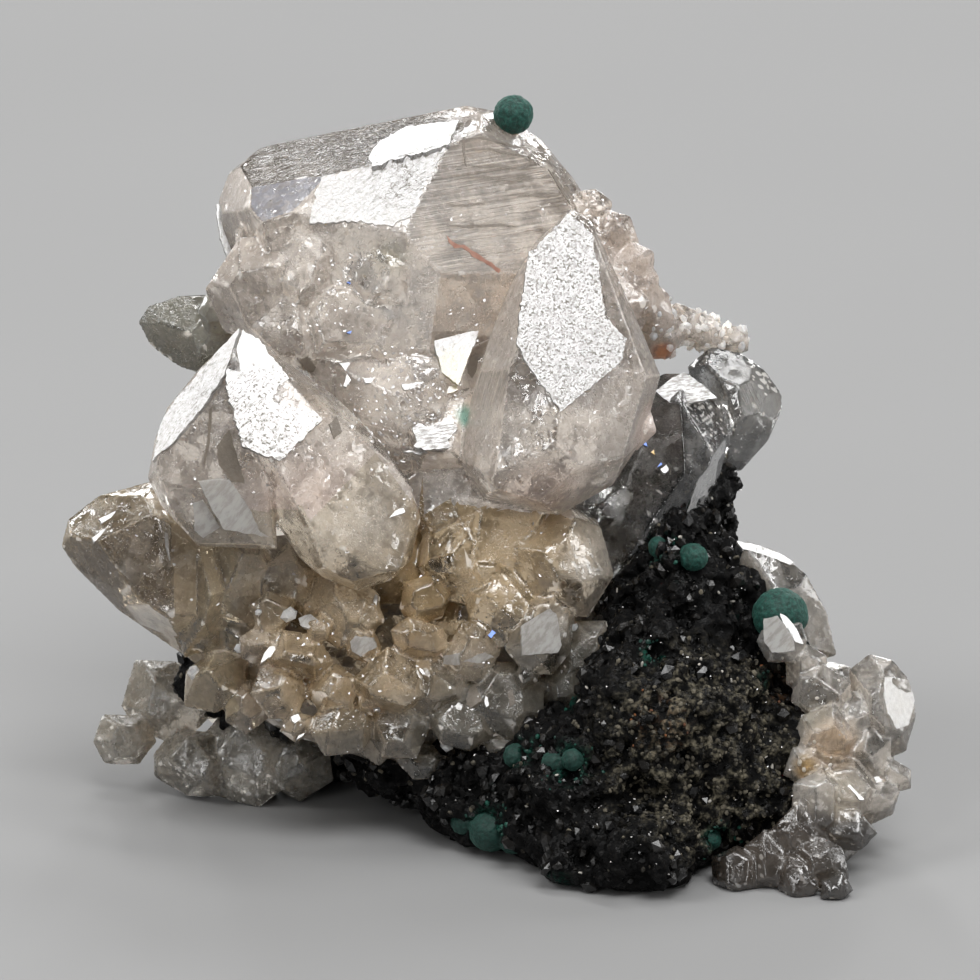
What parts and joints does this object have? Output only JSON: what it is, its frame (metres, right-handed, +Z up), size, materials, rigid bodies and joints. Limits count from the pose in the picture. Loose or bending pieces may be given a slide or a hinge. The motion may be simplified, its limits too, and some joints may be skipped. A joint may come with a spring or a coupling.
{
  "type": "mineral specimen",
  "caption": "Cluster of pale, glassy cerussite crystals over a crust of small crystals, on dark gossan with velvety green malachite balls. It rests on its broken base.",
  "frame": {"origin": "middle of the bounding box on the surface that the specimen rests on", "axes": "+Z up, +X along the specimen's width to the viewer's right, +Y away from the viewer, from its front with the crystals to its broken back"},
  "size_m": [0.0252, 0.0164, 0.0202],
  "materials": {
    "pale_cerussite": "polished",
    "clear_cerussite": "polished",
    "white_cerussite": "satin",
    "smoky_cerussite": "polished",
    "gossan": "rough",
    "malachite": "satin"
  },
  "bodies": {
    "root": {"cerussite_main_group": "pale_cerussite", "cerussite_clear_pair": "clear_cerussite", "cerussite_right_group": "white_cerussite", "cerussite_left_group": "smoky_cerussite", "gossan_matrix": "gossan", "malachite_ball_crown": "malachite", "malachite_ball_neck": "malachite", "malachite_ball_neck_small": "malachite", "malachite_ball_shelf": "malachite", "malachite_foot_nodules": "malachite", "malachite_edge_nodules": "malachite", "malachite_crust_nodule": "malachite", "malachite_base_nodule": "malachite"}
  },
  "joints": []
}
